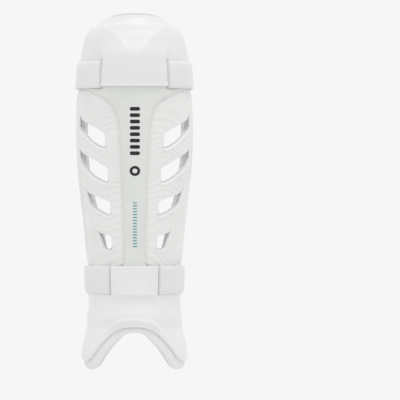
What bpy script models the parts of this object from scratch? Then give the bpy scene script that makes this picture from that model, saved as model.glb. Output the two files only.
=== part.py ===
"""Field hockey shin guard: a hard shell on a foam liner, held round the leg by two straps.

Frame: metres, +Z up, worn upright. The front of the shin faces -Y, +X is the guard's left-to-right
axis seen from the front, and the origin is the bottom centre of the bounding box.
All driving dimensions below are in millimetres.

The whole guard follows one leg surface. A point on it is given by its height z and by u, which runs
round the leg: 0 at the shin, +-1 where the side is widest, +-REAR_U at the rear edge. Every layer is
a closed solid between two offsets of that surface, positive outwards.
"""
import math

import bmesh
import bpy
import numpy as np
from mathutils import Vector

MM = 0.001
DEPTH_CENTRE = 4.3          # leg surface y at the centre of the bounding box

# Leg surface: (height, value) knots of smooth curves.
HALF_WIDTH = [(-4, 47.6), (16, 47.6), (28, 45.4), (42, 41.9), (54, 39.5), (64, 39.1), (72, 40.2),
              (91, 41.1), (99, 42.4), (118, 44.5), (143, 47.3), (167, 50.0), (191, 51.9), (212, 52.7),
              (232, 52.4), (246, 51.2), (256, 48.9), (268, 48.0), (280, 46.3), (293, 43.9), (300, 42.0),
              (307, 38.4), (327, 23.0)]
FRONT_DEPTH = [(-4, 57), (18, 55), (38, 51), (58, 46.5), (80, 45), (120, 47), (170, 50), (212, 52),
               (248, 53), (279, 52), (300, 48.5), (311, 44), (327, 31.5)]
REAR_CURL = [(-4, 5), (40, 8), (80, 12), (116, 10.5), (152, 5), (190, 2.2), (230, 2.4), (327, 4)]
REAR_U = 1.5                # u of the rear edge
SIDE_DEPTH = 30             # straight side behind the widest line

# Outlines of the edges: (u, height) knots for u >= 0.
SHELL_TOP = [(0, 319.5), (0.44, 318.0), (0.64, 315.0), (0.94, 308.0), (1.2, 299.0), (REAR_U, 284.0)]
SHELL_BOTTOM = [(0, 38.8), (0.14, 38.0), (0.26, 35.0), (0.37, 29.4), (0.45, 23.7), (0.53, 17.3),
                (0.63, 10.4), (0.745, 7.4), (0.88, 8.6), (1.0, 11.8), (1.25, 21.6), (REAR_U, 36.0)]
LINER_BOTTOM = [(0, 34.9), (0.165, 32.2), (0.27, 25.9), (0.365, 19.2), (0.437, 13.0), (0.512, 6.6),
                (0.585, 2.2), (0.69, 0.0), (0.83, 1.4), (1.0, 6.0), (1.25, 15.4), (REAR_U, 29.0)]
LINER_OVERHANG_TOP = 4.4    # liner past the shell's top edge
LINER_OVERHANG_REAR = 2.0   # and past its rear edges

# Layers, as offsets from the leg surface.
GAP = 0.3
PLATE_THICKNESS = 2.4
COVER_THICKNESS = 2.2
LINER_GAP = 0.5             # between the plate and the foam
FOAM_THICKNESS = 4.2
FACING_GAP = 0.4            # between the foam and its fabric facing
FACING_THICKNESS = 0.6
PLATE_LOW = 53.0
PLATE_HIGH = 283.0
TONGUE_FADE_LOW = 14.0      # height over which the ankle guard steps in below the plate
TONGUE_FADE_HIGH = 18.0     # height over which the knee cap steps in above the plate

# Spine rib: (height, half width) knots, and its section.
SPINE = [(93.8, 9.4), (121, 9.4), (152, 10.3), (177, 11.1), (193, 12.1), (208, 12.9), (218, 13.8),
         (226, 15.1), (232, 16.9), (237, 19.5), (241, 23.3), (244, 27.5), (247.5, 35.0), (252.2, 43.0)]
SPINE_HEIGHT = 2.4
SPINE_FOOT = 0.7            # its back, off the plate
SPINE_BEVEL = 0.16          # share of the half width taken by each bevel
SPINE_EDGE = 0.9            # outside height at the foot of a bevel
SPINE_ROW_POWER = 1.9       # sets the rib's rows closer together where it flares

# Vents of one side, as (distance from the centre line, height) outlines.
VENTS = [
    [(49.5, 229.8), (47.4, 224.1), (27.0, 212.4), (26.5, 199.2), (33.7, 202.4), (38.6, 205.7),
     (47.0, 214.9), (49.9, 217.4)],
    [(49.9, 199.1), (47.4, 194.9), (33.7, 186.8), (24.1, 180.8), (24.2, 168.3), (32.0, 171.6),
     (37.8, 175.4), (47.4, 185.0), (49.5, 190.8)],
    [(44.5, 164.7), (41.9, 158.9), (37.0, 156.8), (22.0, 151.0), (22.0, 139.1), (29.5, 142.2),
     (39.9, 148.8)],
    [(33.2, 125.6), (31.1, 122.7), (20.8, 120.2), (20.7, 108.5), (27.0, 109.4)],
]
VENT_ANGLES = [48.0, 46.0, 42.0, 36.0]   # degrees off the front that each vent's walls run
VENT_CUT = (9.0, -19.0)     # reach of the vent cutter outside and inside the leg surface
LINER_VENT_MARGIN = 0.8

# Straps: each has its middle height, the half width of the bridge it passes behind, and the reach
# of the curve across the open back.
STRAP_WIDTH = 24.8
STRAP_THICKNESS = 1.8
SLOT_WIDTH = 4.8
SLOT_STEP = 0.006           # u between a slot's wall and the facets beside it
SLOT_CUT = (9.0, -4.0)      # reach of the slot cutter outside and inside the leg surface
STRAPS = {
    "upper": {"middle": 265.2, "bridge": 27.2, "reach": 36.0},
    "lower": {"middle": 80.6, "bridge": 19.1, "reach": 21.0},
}
CHANNEL = 2.6               # room behind a bridge for the strap
BRIDGE_RISE = 2.3           # bridge above the rest of its cover
BRIDGE_SHOULDER = (0.86, 0.34)           # where its side slope starts and how wide it is, in half widths
UPPER_BRIDGE_FADE = 16.0    # height over which each bridge sinks into its cover
LOWER_BRIDGE_FADE = 5.0
STRAP_CLEARANCE = 0.8       # strap above the cover it lies on
UPPER_BRIDGE_LOW = 253.9
UPPER_CHANNEL_HIGH = 279.6
LOWER_BRIDGE_LOW = 64.8
LOWER_CHANNEL_LOW = 66.0
CHANNEL_STEP = 0.6          # height over which a channel closes
COVER_TOP_LOW = 93.5        # top edge of the ankle guard
PATCH_THICKNESS = 1.1
PATCH_INSET = 1.4           # from the strap's edges
BACK_FIXED_END = 0.40       # share of the way across the back, from the right side
BACK_PEEL = 0.47
BACK_TIP = 0.19
BACK_TAB = 0.08
TAIL_STEP = (0.22, 0.2)     # where the tail steps out past the peel line and over what share of the way
LOOP_START = 0.10           # start of the loop patch, as a share of the way across the back
PATCH_END_INSET = 0.01      # hook and loop patches, from the ends of the strap under them
RUN_SEAM = 0.006            # u left free on each side of a fold line
TAB_THICKNESS = 2.4
TAB_INSET = 1.0             # pull tab, from the strap's edges

# Rivets, as (u, height) on each side, and pads that hold the liner, as (u, height, width, length).
RIVET_RADIUS = 2.6
RIVETS = {"upper": {"front": (0.66, 262.0), "rear": (0.95, 262.0)},
          "lower": {"front": (0.52, 78.0), "rear": (0.88, 78.0)}}
PADS = {"centre": (0.0, 180.0, 15.0, 110.0), "left": (-1.22, 170.0, 15.0, 80.0),
        "right": (1.22, 170.0, 15.0, 80.0)}
PAD_THICKNESS = 1.0
RIVET_HOLE_REACH = 8.0      # of the hole cutter to each side of the leg surface

COLUMNS = 22                # facets round a layer
PLATE_LEVELS = [PLATE_LOW, 62.0, 70.0, 80.0, 90.0, 94.5, 99.0, 106.0, 122.0, 140.0, 158.0, 176.0,
                194.0, 212.0, 228.0, 239.0, 245.0, 250.0, 255.0, 264.0, 274.0,
                PLATE_HIGH]     # heights of the plate's rows, closer where it steps in under a cover


def spline(knots):
    """A natural cubic spline through the knots, as a function of one number."""
    at = np.array([knot[0] for knot in knots], float)
    value = np.array([knot[1] for knot in knots], float)
    step = np.diff(at)
    slope = np.diff(value) / step
    size = len(at)
    system = np.eye(size)
    right = np.zeros(size)
    for i in range(1, size - 1):
        system[i, i - 1:i + 2] = step[i - 1], 2 * (step[i - 1] + step[i]), step[i]
        right[i] = 6 * (slope[i] - slope[i - 1])
    bend = np.linalg.solve(system, right)

    def curve(x):
        x = min(max(x, at[0]), at[-1])
        i = min(max(int(np.searchsorted(at, x)) - 1, 0), size - 2)
        a = (at[i + 1] - x) / step[i]
        b = (x - at[i]) / step[i]
        bent = ((a ** 3 - a) * bend[i] + (b ** 3 - b) * bend[i + 1]) * step[i] ** 2 / 6
        return a * value[i] + b * value[i + 1] + bent

    return curve


half_width = spline(HALF_WIDTH)
front_depth = spline(FRONT_DEPTH)
rear_curl = spline(REAR_CURL)
shell_top = spline(SHELL_TOP)
shell_bottom = spline(SHELL_BOTTOM)
liner_bottom = spline(LINER_BOTTOM)
spine_half = spline(SPINE)


def mix(a, b, share):
    return a + (b - a) * share


def ease(x):
    """0 below 0, 1 above 1, and smooth between."""
    x = min(max(x, 0.0), 1.0)
    return x * x * (3 - 2 * x)


def leg(u, z):
    """The point of the leg surface at u and height z."""
    side = math.copysign(1.0, u)
    round_front = min(abs(u), 1.0) * math.pi / 2
    behind = max(abs(u) - 1.0, 0.0) / (REAR_U - 1.0)
    x = side * (half_width(z) * math.sin(round_front) - rear_curl(z) * behind ** 2)
    y = -front_depth(z) * math.cos(round_front) + SIDE_DEPTH * behind
    return Vector((x, y - DEPTH_CENTRE, z))


def leg_normal(u, z):
    """The outward normal of the leg surface."""
    du, dz = 0.002, 0.2
    round_leg = leg(u + du, z) - leg(u - du, z)
    up_leg = leg(u, z + dz) - leg(u, z - dz)
    return round_leg.cross(up_leg).normalized()


def off_leg(u, z, offset):
    return leg(u, z) + leg_normal(u, z) * offset


def u_at(x, z):
    """The u of the point x off the centre line, on the front of the leg surface."""
    return math.asin(min(max(x / half_width(z), -1.0), 1.0)) / (math.pi / 2)


def material(name, colour, roughness, metallic=0.0):
    made = bpy.data.materials.new(name)
    made.use_nodes = True
    shader = made.node_tree.nodes["Principled BSDF"]
    shader.inputs["Base Color"].default_value = (*colour, 1.0)
    shader.inputs["Roughness"].default_value = roughness
    shader.inputs["Metallic"].default_value = metallic
    return made


def add_object(name, bm, look):
    bmesh.ops.scale(bm, verts=bm.verts, vec=(MM, MM, MM))
    mesh = bpy.data.meshes.new(name)
    bm.to_mesh(mesh)
    bm.free()
    mesh.shade_smooth()
    mesh.set_sharp_from_angle(angle=math.radians(35))
    obj = bpy.data.objects.new(name, mesh)
    bpy.context.scene.collection.objects.link(obj)
    if look:
        mesh.materials.append(look)
    else:
        obj.hide_render = True
        obj.display_type = "WIRE"
    return obj


def add_solid(bm, outer_at, inner_at, across, up):
    """A closed solid between two grids. outer_at and inner_at give a point from shares 0..1."""
    grids = []
    for point_at in (outer_at, inner_at):
        grids.append([[bm.verts.new(point_at(s, t)) for t in up] for s in across])
    outer, inner = grids
    last_i, last_j = len(across) - 1, len(up) - 1
    for i in range(last_i):
        for j in range(last_j):
            bm.faces.new((outer[i][j], outer[i + 1][j], outer[i + 1][j + 1], outer[i][j + 1]))
            bm.faces.new((inner[i][j], inner[i][j + 1], inner[i + 1][j + 1], inner[i + 1][j]))
    for i in range(last_i):
        bm.faces.new((outer[i][0], inner[i][0], inner[i + 1][0], outer[i + 1][0]))
        bm.faces.new((outer[i][last_j], outer[i + 1][last_j], inner[i + 1][last_j], inner[i][last_j]))
    for j in range(last_j):
        bm.faces.new((outer[0][j], outer[0][j + 1], inner[0][j + 1], inner[0][j]))
        bm.faces.new((outer[last_i][j], inner[last_i][j], inner[last_i][j + 1], outer[last_i][j + 1]))


def steps(count):
    return [i / count for i in range(count + 1)]


def add_layer(bm, spot, outer, inner, across, up, rear_y=None):
    """A layer of the guard. spot gives (u, z) from two shares, and outer and inner give offsets.

    Where rear_y is given, the layer's two rear edges are cut flat at that y.
    """
    def point_with(offset):
        def point_at(s, t):
            u, z = spot(s, t)
            point = off_leg(u, z, offset(u, z))
            if rear_y is not None and s in (0.0, 1.0):
                along = leg(u, z) - leg(u * 0.99, z)
                point += along * ((rear_y - point.y) / along.y)
            return point
        return point_at

    add_solid(bm, point_with(outer), point_with(inner), across, up)


def constant(value):
    return lambda u, z: value


def band_spot(half_u, low, high):
    """Shares to (u, z) for a layer of half width half_u between two edge outlines."""
    def spot(s, t):
        u = mix(-half_u, half_u, s)
        return u, mix(low(abs(u)), high(abs(u)), t)
    return spot


def patch_spot(u, z, width, height):
    """Shares to (u, z) for a small patch centred at u, z."""
    arc = (leg(u + 0.01, z) - leg(u - 0.01, z)).length / 0.02
    half_u = width / 2 / arc

    def spot(s, t):
        return u + mix(-half_u, half_u, s), z + mix(-height / 2, height / 2, t)
    return spot


def cut(obj, cutter):
    boolean = obj.modifiers.new("cut", "BOOLEAN")
    boolean.operation = "DIFFERENCE"
    boolean.solver = "EXACT"
    boolean.object = cutter


def vent_cutter(name, margin):
    """One mesh that cuts all the vents, grown by margin. The walls of each run straight in."""
    bm = bmesh.new()
    for outline, angle in zip(VENTS, VENT_ANGLES):
        centre = Vector((sum(x for x, _ in outline), sum(z for _, z in outline))) / len(outline)
        inwards = Vector((-math.sin(math.radians(angle)), math.cos(math.radians(angle)), 0))
        for side in (1, -1):
            rings = []
            for depth in VENT_CUT:
                ring = []
                for corner in outline:
                    flat = Vector(corner)
                    grown = flat + (flat - centre).normalized() * margin
                    on_leg = leg(u_at(grown.x, grown.y), grown.y)
                    point = on_leg - inwards * depth
                    ring.append(bm.verts.new((side * point.x, point.y, point.z)))
                rings.append(ring)
            count = len(outline)
            made = [bm.faces.new(rings[0]), bm.faces.new(rings[1])]
            for i in range(count):
                j = (i + 1) % count
                made.append(bm.faces.new((rings[0][i], rings[0][j], rings[1][j], rings[1][i])))
            bmesh.ops.recalc_face_normals(bm, faces=made)
    bmesh.ops.triangulate(bm, faces=bm.faces)
    return add_object(name, bm, None)


def add_rod(bm, u, z, low, high, radius, sides=14):
    """A round rod square to the leg surface, between two offsets."""
    axis = leg_normal(u, z)
    turn = axis.to_track_quat("Z", "Y").to_matrix()
    foot, top = off_leg(u, z, low), off_leg(u, z, high)
    rings = []
    for middle in (foot, top):
        ring = []
        for k in range(sides):
            angle = 2 * math.pi * k / sides
            spoke = turn @ Vector((math.cos(angle), math.sin(angle), 0))
            ring.append(bm.verts.new(middle + spoke * radius))
        rings.append(ring)
    bm.faces.new(rings[1])
    bm.faces.new(reversed(rings[0]))
    for k in range(sides):
        n = (k + 1) % sides
        bm.faces.new((rings[0][k], rings[0][n], rings[1][n], rings[1][k]))


def rivet_places(strap):
    """The name and the (u, z) of each of a strap's rivets."""
    for spot, (u, z) in RIVETS[strap].items():
        yield "right_" + spot, u, z
        yield "left_" + spot, -u, z


# Hard shell

def liner_top(u):
    return shell_top(u) + LINER_OVERHANG_TOP


def knee_cap_inner(u, z):
    return GAP - PLATE_THICKNESS * ease((z - PLATE_HIGH - 3) / TONGUE_FADE_HIGH)


def ankle_inner(u, z):
    return GAP - PLATE_THICKNESS * ease((PLATE_LOW - 4 - z) / TONGUE_FADE_LOW)


def bridge_rise(strap, u, z):
    """How far a cover stands up where it bridges its strap."""
    edge = u_at(STRAPS[strap]["bridge"], STRAPS[strap]["middle"])
    start, width = BRIDGE_SHOULDER
    across = 1 - ease((abs(u) - edge * start) / (edge * width))
    if strap == "upper":
        along = 1 - ease((z - UPPER_CHANNEL_HIGH - 1) / UPPER_BRIDGE_FADE)
    else:
        along = 1 - ease((LOWER_BRIDGE_LOW - z) / LOWER_BRIDGE_FADE)
    return BRIDGE_RISE * across * along


def knee_cap_outer(u, z):
    return knee_cap_inner(u, z) + COVER_THICKNESS + bridge_rise("upper", u, z)


def ankle_outer(u, z):
    return ankle_inner(u, z) + COVER_THICKNESS + bridge_rise("lower", u, z)


def in_channel(strap, u, z):
    """Whether a cover is hollow behind this spot, to let its strap through."""
    if abs(u) > slot_ends(strap)[0]:
        return False
    return z < UPPER_CHANNEL_HIGH if strap == "upper" else z > LOWER_CHANNEL_LOW


def cover_columns(strap):
    """Columns of a cover as shares from its left rear edge to its right, with one at each slot wall."""
    edge, end = slot_ends(strap)
    edge -= SLOT_STEP
    right = even(edge, end, 1) + even(end, REAR_U, 10) + [REAR_U]
    places = [-u for u in reversed(right)] + even(-edge, edge, 8)[1:] + right
    return [(u + REAR_U) / (2 * REAR_U) for u in places]


def slot_cutter(strap, low, high):
    """Cutter for the two slots at the ends of a bridge."""
    edge, end = slot_ends(strap)
    bm = bmesh.new()
    for side in (1, -1):
        def slot_spot(s, t, side=side):
            ends = sorted((side * edge, side * (end - SLOT_STEP)))
            return mix(ends[0], ends[1], s), mix(low, high, t)
        add_layer(bm, slot_spot, constant(SLOT_CUT[0]), constant(SLOT_CUT[1]), steps(2), steps(3))
    return add_object(strap + "_slots", bm, None)


def make_plate(look, vents):
    bm = bmesh.new()
    spot = band_spot(REAR_U, lambda u: PLATE_LOW, lambda u: PLATE_HIGH)
    rear = SIDE_DEPTH - DEPTH_CENTRE
    up = [(z - PLATE_LOW) / (PLATE_HIGH - PLATE_LOW) for z in PLATE_LEVELS]
    add_layer(bm, spot, constant(0.0), constant(-PLATE_THICKNESS), steps(COLUMNS), up, rear)
    plate = add_object("shin_plate", bm, look)
    cut(plate, vents)
    return plate


def make_spine(look):
    """The raised rib down the front, with a bevel along each side."""
    bevel = SPINE_BEVEL / 2
    columns = [0.0] + even(bevel, 1 - bevel, 10) + [1 - bevel, 1.0]
    low, high = SPINE[0][0], SPINE[-1][0]
    edge = {0.0: SPINE_EDGE, 1.0: SPINE_EDGE}

    def spot(s, t):
        z = mix(low, high, 1 - (1 - t) ** SPINE_ROW_POWER)
        return mix(-1, 1, s) * u_at(spine_half(z), z), z

    def point_with(outside):
        def point_at(s, t):
            u, z = spot(s, t)
            offset = edge.get(s, SPINE_HEIGHT) if outside else SPINE_FOOT
            return off_leg(u, z, offset)
        return point_at

    bm = bmesh.new()
    add_solid(bm, point_with(True), point_with(False), columns, steps(17))
    return add_object("spine_rib", bm, look)


def make_cover(name, strap, outer, inner, levels, slots, look):
    """A cover over the plate. levels holds the outlines of its bottom, its two steps and its top."""
    def hollow_inner(u, z):
        return CHANNEL if in_channel(strap, u, z) else inner(u, z)

    def spot(s, t):
        u = mix(-REAR_U, REAR_U, s)
        level = min(int(t), len(levels) - 2)
        return u, mix(levels[level](abs(u)), levels[level + 1](abs(u)), t - level)

    counts = {"upper": (4, 1, 7), "lower": (7, 1, 4)}[strap]
    up = [level + share for level, count in enumerate(counts) for share in even(0, 1, count)]
    bm = bmesh.new()
    rear = SIDE_DEPTH - DEPTH_CENTRE
    add_layer(bm, spot, outer, hollow_inner, cover_columns(strap), up + [len(counts)], rear)
    cover = add_object(name, bm, look)
    cut(cover, slot_cutter(strap, *slots))
    return cover


def make_knee_cap(look):
    step = UPPER_CHANNEL_HIGH
    levels = [lambda u: UPPER_BRIDGE_LOW, lambda u: step - CHANNEL_STEP, lambda u: step, shell_top]
    slots = (UPPER_BRIDGE_LOW - 5, step - 2 * CHANNEL_STEP)
    return make_cover("knee_cap", "upper", knee_cap_outer, knee_cap_inner, levels, slots, look)


def make_ankle_guard(look):
    step = LOWER_CHANNEL_LOW
    levels = [shell_bottom, lambda u: step, lambda u: step + CHANNEL_STEP, lambda u: COVER_TOP_LOW]
    slots = (step + 2 * CHANNEL_STEP, COVER_TOP_LOW + 5)
    return make_cover("ankle_guard", "lower", ankle_outer, ankle_inner, levels, slots, look)


def make_rivets(strap, look, riveted):
    """Flush rivets through a cover and the plate, under the strap. Their holes go through riveted."""
    top = GAP + COVER_THICKNESS
    bm = bmesh.new()
    for _, u, z in rivet_places(strap):
        add_rod(bm, u, z, -RIVET_HOLE_REACH, RIVET_HOLE_REACH, RIVET_RADIUS + GAP)
    holes = add_object(strap + "_rivet_holes", bm, None)
    for obj in riveted:
        cut(obj, holes)
    for place, u, z in rivet_places(strap):
        bm = bmesh.new()
        add_rod(bm, u, z, -PLATE_THICKNESS, top, RIVET_RADIUS)
        add_object(f"{strap}_rivet_{place}", bm, look)


# Liner

FOAM_OUTER = -(PLATE_THICKNESS + LINER_GAP)
FOAM_INNER = FOAM_OUTER - FOAM_THICKNESS
FACING_OUTER = FOAM_INNER - FACING_GAP
FACING_INNER = FACING_OUTER - FACING_THICKNESS


def add_pad(bm, place, outer, thickness, margin=0.0):
    u, z, width, length = PADS[place]
    spot = patch_spot(u, z, width + 2 * margin, length + 2 * margin)
    add_layer(bm, spot, constant(outer), constant(outer - thickness), steps(3), steps(8))


def make_pads(kind, outer, look):
    for place in PADS:
        bm = bmesh.new()
        add_pad(bm, place, outer, PAD_THICKNESS)
        add_object(f"liner_{kind}_{place}", bm, look)


def pad_pockets(outer):
    """Cutter for the shallow pockets in the foam that the pads lie in."""
    bm = bmesh.new()
    for place in PADS:
        add_pad(bm, place, outer + 1, 2 * PAD_THICKNESS + 2 * GAP + 1, GAP * 2)
    return add_object("pad_pockets", bm, None)


def make_liner(foam_look, facing_look, vents):
    rear_u = REAR_U + LINER_OVERHANG_REAR / SIDE_DEPTH * (REAR_U - 1)
    rear = SIDE_DEPTH + LINER_OVERHANG_REAR - DEPTH_CENTRE
    rows = len(PLATE_LEVELS) - 1
    below, above = 6, 6
    up = even(-below, 0, below) + even(0, rows, rows) + even(rows, rows + above, above) + [rows + above]

    def spot(s, t):
        u = mix(-rear_u, rear_u, s)
        if t < 0:
            return u, mix(PLATE_LOW, liner_bottom(abs(u)), -t / below)
        if t > rows:
            return u, mix(PLATE_HIGH, liner_top(abs(u)), (t - rows) / above)
        return u, PLATE_LEVELS[int(t)]

    made = []
    for name, outer, inner, look in (
        ("liner_foam", FOAM_OUTER, FOAM_INNER, foam_look),
        ("liner_facing", FACING_OUTER, FACING_INNER, facing_look),
    ):
        bm = bmesh.new()
        add_layer(bm, spot, constant(outer), constant(inner), steps(COLUMNS), up, rear)
        layer = add_object(name, bm, look)
        cut(layer, vents)
        made.append(layer)
    return made


# Straps

def strap_plan(strap, q, z):
    """The strap's path in plan. q is u on the guard, and REAR_U to REAR_U + 1 crosses the back."""
    if abs(q) <= REAR_U:
        return leg(q, z)
    edge = leg(REAR_U, z)
    tangent = (edge - leg(REAR_U - 0.01, z)).normalized() * STRAPS[strap]["reach"]
    b = q - REAR_U if q > 0 else q + REAR_U + 1
    x0, x1 = edge.x, edge.x + tangent.x
    y0, y1 = edge.y, edge.y + tangent.y
    x = x0 * (1 - b) ** 3 + 3 * x1 * (1 - b) ** 2 * b - 3 * x1 * (1 - b) * b ** 2 - x0 * b ** 3
    y = y0 * ((1 - b) ** 3 + b ** 3) + 3 * y1 * ((1 - b) ** 2 * b + (1 - b) * b ** 2)
    return Vector((x, y, z))


def strap_point(strap, q, z, offset):
    """A point off the strap's path, square to it in plan."""
    dq = 0.004
    along = strap_plan(strap, q + dq, z) - strap_plan(strap, q - dq, z)
    out = Vector((along.y, -along.x, 0)).normalized()
    return strap_plan(strap, q, z) + out * offset


OVER_COVER = COVER_THICKNESS + STRAP_CLEARANCE      # inner face of a strap that lies on a cover


def strap_inner(strap, q, z):
    """The strap's inner offset: it dives behind the bridge at the front."""
    edge, end = slot_ends(strap)
    return mix(GAP, OVER_COVER, ease((abs(q) - edge) / (end - edge)))


def tail_inner(q):
    """The tail's inner offset: it steps out over the fixed end and the two patches."""
    out = STRAP_THICKNESS + 2 * PATCH_THICKNESS + 4 * GAP
    past, width = TAIL_STEP
    return OVER_COVER + out * ease((BACK_PEEL + past - (q - REAR_U)) / width)


def slot_ends(strap):
    """The u of the inner and of the outer side of a strap's slots."""
    bridge, middle = STRAPS[strap]["bridge"], STRAPS[strap]["middle"]
    return u_at(bridge, middle), u_at(bridge + SLOT_WIDTH, middle)


def even(start, end, count):
    """count places from start on, evenly spaced and without the end itself."""
    return [mix(start, end, i / count) for i in range(count)]


def body_stations(strap, fixed_end):
    """Where the fixed webbing has its cross-sections: closer together where it dives into a slot."""
    edge, end = slot_ends(strap)
    return (even(-REAR_U, -end, 8) + even(-end, -edge, 3) + even(-edge, edge, 6) + even(edge, end, 3)
            + even(end, REAR_U, 8) + even(REAR_U, fixed_end, 7) + [fixed_end])


def add_strap_run(name, strap, stations, inner, thickness, look, inset=0.0):
    """A run of strap through its stations, as a closed solid of the given thickness."""
    middle = STRAPS[strap]["middle"]
    half = STRAP_WIDTH / 2 - inset

    def point_with(extra):
        def point_at(q, t):
            z = mix(middle - half, middle + half, t)
            return strap_point(strap, q, z, inner(q, z) + extra)
        return point_at

    bm = bmesh.new()
    add_solid(bm, point_with(thickness), point_with(0.0), stations, steps(3))
    return add_object(name, bm, look)


def hinge_at(name, strap, q, offset):
    """An empty on a strap's fold line, with its Z along the line."""
    middle = STRAPS[strap]["middle"]
    low = strap_point(strap, q, middle - STRAP_WIDTH / 2, offset)
    high = strap_point(strap, q, middle + STRAP_WIDTH / 2, offset)
    empty = bpy.data.objects.new(name, None)
    empty.location = (low + high) / 2 * MM
    empty.rotation_euler = (high - low).to_track_quat("Z", "Y").to_euler()
    bpy.context.scene.collection.objects.link(empty)
    return empty


def hang_on(empty, obj):
    obj.parent = empty
    obj.matrix_parent_inverse = empty.matrix_basis.inverted()


def make_strap(strap, looks):
    """The webbing, its hook-and-loop closure and its pull tab, with the two fold lines of the tail."""
    left = REAR_U + 1.0
    fixed_end = REAR_U + BACK_FIXED_END
    peel = REAR_U + BACK_PEEL
    tip = REAR_U + BACK_TIP
    tab_end = REAR_U + BACK_TAB

    def body_inner(q, z):
        return strap_inner(strap, q, z)

    def end_inner(q, z):
        return tail_inner(q)

    def loop_inner(q, z):
        return OVER_COVER + STRAP_THICKNESS + GAP

    def hook_inner(q, z):
        return tail_inner(q) - GAP - PATCH_THICKNESS

    def tab_inner(q, z):
        return tail_inner(q) + (STRAP_THICKNESS - TAB_THICKNESS) / 2

    web = looks["webbing"]

    def run(piece, start, finish, count, inner, thickness, look, inset=0.0):
        stations = even(start, finish, count) + [finish]
        return add_strap_run(f"{strap}_{piece}", strap, stations, inner, thickness, look, inset)

    add_strap_run(strap + "_strap", strap, body_stations(strap, fixed_end), body_inner,
                  STRAP_THICKNESS, web)
    patch_end = fixed_end - PATCH_END_INSET
    run("loop_patch", REAR_U + LOOP_START, patch_end, 6, loop_inner, PATCH_THICKNESS, looks["loop"],
        PATCH_INSET)
    tail = run("strap_tail", peel + RUN_SEAM, left - RUN_SEAM, 10, end_inner, STRAP_THICKNESS, web)
    end = run("strap_end", tip, peel - RUN_SEAM, 7, end_inner, STRAP_THICKNESS, web)
    hook = run("hook_patch", tip + PATCH_END_INSET, patch_end, 7, hook_inner, PATCH_THICKNESS,
               looks["hook"], PATCH_INSET)
    tab = run("pull_tab", tab_end, tip - RUN_SEAM, 4, tab_inner, TAB_THICKNESS, looks["tab"], TAB_INSET)
    swing = hinge_at(strap + "_swing_axis", strap, left, OVER_COVER + STRAP_THICKNESS + GAP)
    fold = hinge_at(strap + "_peel_axis", strap, peel, tail_inner(peel) + STRAP_THICKNESS)
    hang_on(swing, tail)
    hang_on(swing, fold)
    for obj in (end, hook, tab):
        hang_on(fold, obj)


def clear_scene():
    for obj in list(bpy.data.objects):
        bpy.data.objects.remove(obj, do_unlink=True)


def main():
    clear_scene()
    white = (0.80, 0.81, 0.80)
    plastic = material("plate_plastic", white, 0.42)
    spine_look = material("spine_plastic", (0.70, 0.72, 0.70), 0.45)
    cover = material("cover_plastic", (0.84, 0.84, 0.83), 0.35)
    foam = material("liner_foam", (0.78, 0.78, 0.77), 0.85)
    facing = material("liner_fabric", (0.80, 0.80, 0.80), 0.9)
    rivet = material("rivet_metal", (0.62, 0.62, 0.63), 0.35, 1.0)
    looks = {
        "webbing": material("strap_webbing", (0.76, 0.76, 0.75), 0.85),
        "loop": material("loop_pile", (0.74, 0.74, 0.73), 0.95),
        "hook": material("hook_tape", (0.70, 0.70, 0.70), 0.6),
        "tab": material("tab_rubber", (0.72, 0.72, 0.71), 0.6),
    }
    shell_vents = vent_cutter("shell_vents", 0.0)
    liner_vents = vent_cutter("liner_vents", LINER_VENT_MARGIN)
    plate = make_plate(plastic, shell_vents)
    make_spine(spine_look)
    cap = make_knee_cap(cover)
    guard = make_ankle_guard(cover)
    make_rivets("upper", rivet, (cap, plate))
    make_rivets("lower", rivet, (guard, plate))
    liner, _ = make_liner(foam, facing, liner_vents)
    hook_outer = FOAM_OUTER
    loop_outer = hook_outer - PAD_THICKNESS - GAP
    make_pads("hook", hook_outer, looks["hook"])
    make_pads("loop", loop_outer, looks["loop"])
    cut(liner, pad_pockets(hook_outer))
    for strap in STRAPS:
        make_strap(strap, looks)


main()
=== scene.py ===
"""The finished look of the field hockey shin guard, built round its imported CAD.

Every layer of the guard follows one leg surface, as in the CAD: a point on it has a height z and a u
that runs round the leg, 0 at the shin and 1.5 at the rear edge. Lengths here are in millimetres until
a mesh is made.
"""
import math

import bpy
import numpy as np
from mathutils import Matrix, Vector
from mathutils.geometry import delaunay_2d_cdt
from mathutils.kdtree import KDTree


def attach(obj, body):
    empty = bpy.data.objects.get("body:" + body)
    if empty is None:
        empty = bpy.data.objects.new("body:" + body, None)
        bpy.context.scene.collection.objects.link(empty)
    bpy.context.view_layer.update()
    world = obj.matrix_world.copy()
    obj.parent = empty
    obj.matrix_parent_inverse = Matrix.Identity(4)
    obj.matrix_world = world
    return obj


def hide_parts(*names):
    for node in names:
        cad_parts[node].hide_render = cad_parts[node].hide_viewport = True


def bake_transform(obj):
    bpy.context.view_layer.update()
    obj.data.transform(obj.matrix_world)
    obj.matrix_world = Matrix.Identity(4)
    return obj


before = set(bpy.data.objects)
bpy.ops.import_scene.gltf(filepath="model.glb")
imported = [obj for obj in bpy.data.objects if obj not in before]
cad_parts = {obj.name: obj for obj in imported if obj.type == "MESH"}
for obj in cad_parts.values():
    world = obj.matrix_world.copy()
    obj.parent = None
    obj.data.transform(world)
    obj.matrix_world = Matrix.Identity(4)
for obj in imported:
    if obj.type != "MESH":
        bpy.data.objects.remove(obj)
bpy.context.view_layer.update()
MM = 0.001

# Leg surface

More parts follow.
